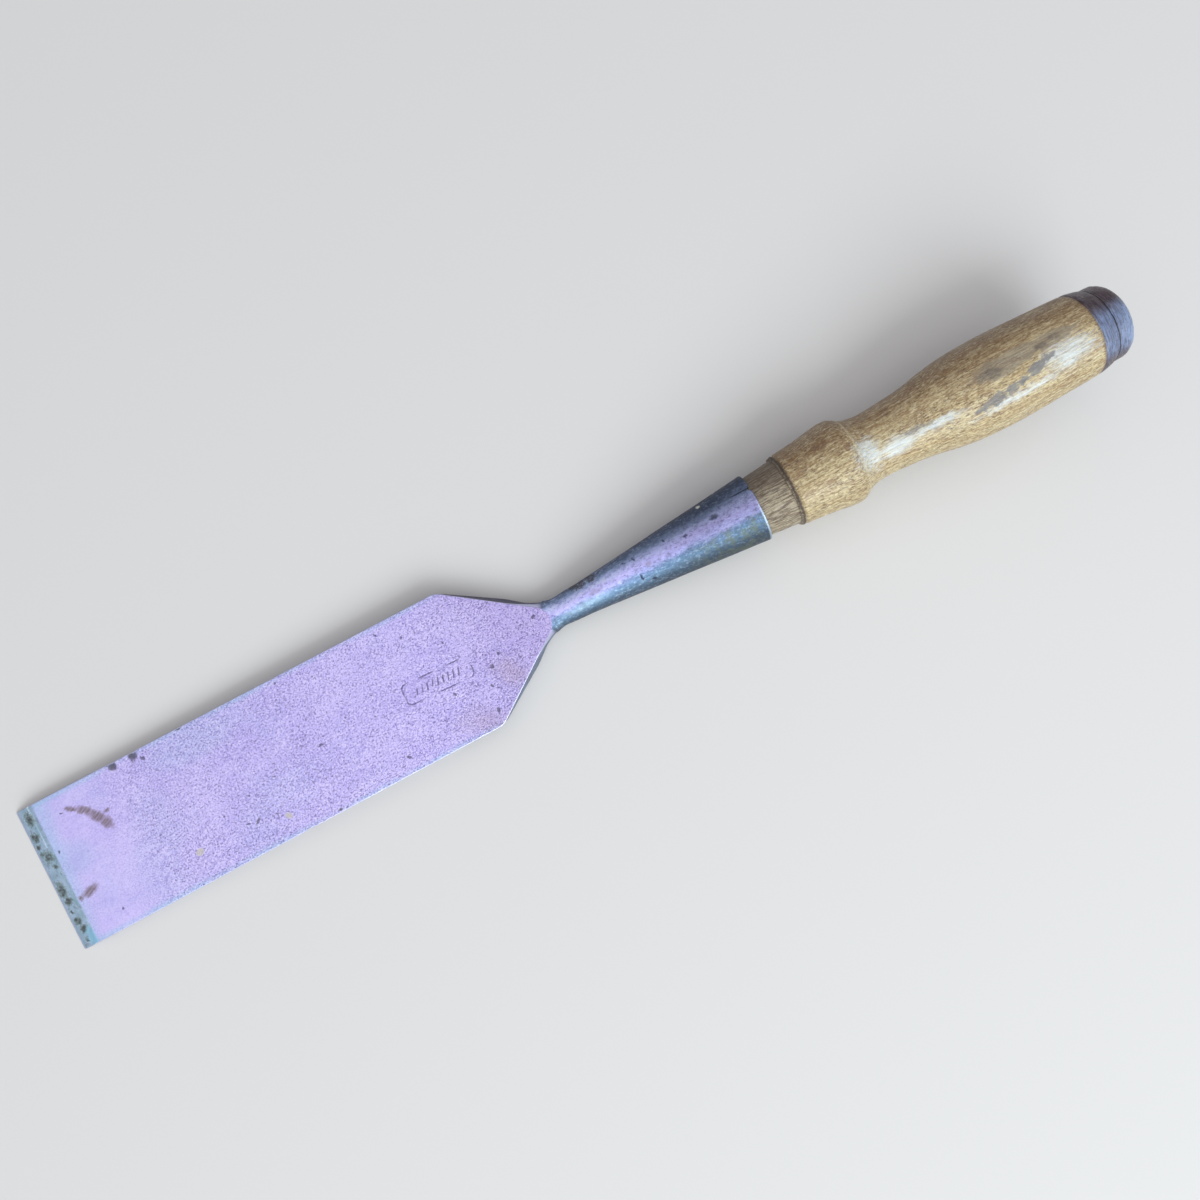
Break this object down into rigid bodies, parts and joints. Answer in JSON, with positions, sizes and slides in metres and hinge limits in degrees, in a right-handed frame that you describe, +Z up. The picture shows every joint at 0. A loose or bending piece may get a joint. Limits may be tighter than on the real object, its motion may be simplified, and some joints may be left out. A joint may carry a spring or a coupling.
{
  "type": "bench chisel",
  "caption": "Wide socket bench chisel: flat bevelled blade with sloping shoulders, tapered steel socket and a turned wooden handle capped with leather washers.",
  "frame": {"origin": "middle of the cutting edge, in the plane of the blade's flat back", "axes": "+X from the cutting edge along the blade towards the butt of the handle, +Y across the blade, +Z up out of the bevel side; the flat back faces -Z"},
  "size_m": [0.3992, 0.0508, 0.0399],
  "materials": {
    "iron": "satin, finely pitted, lightly stained",
    "steel": "ground, spotted with rust behind the edge",
    "handle_wood": "worn, waxy, grey smears on the grip",
    "leather": "dark, hardened, mushroomed rim",
    "peg_wood": "dark end grain"
  },
  "bodies": {
    "blade": {"blade_body": "iron", "steel_facing": "steel"},
    "handle": {"handle": "handle_wood", "leather_washer_inner": "leather", "leather_washer_outer": "leather", "centre_peg": "peg_wood"}
  },
  "joints": [
    {"name": "handle_pull", "type": "slide", "parent": "blade", "child": "handle", "axis": [0.9945, 0, 0.1045], "range_m": [0, 0.064]}
  ]
}
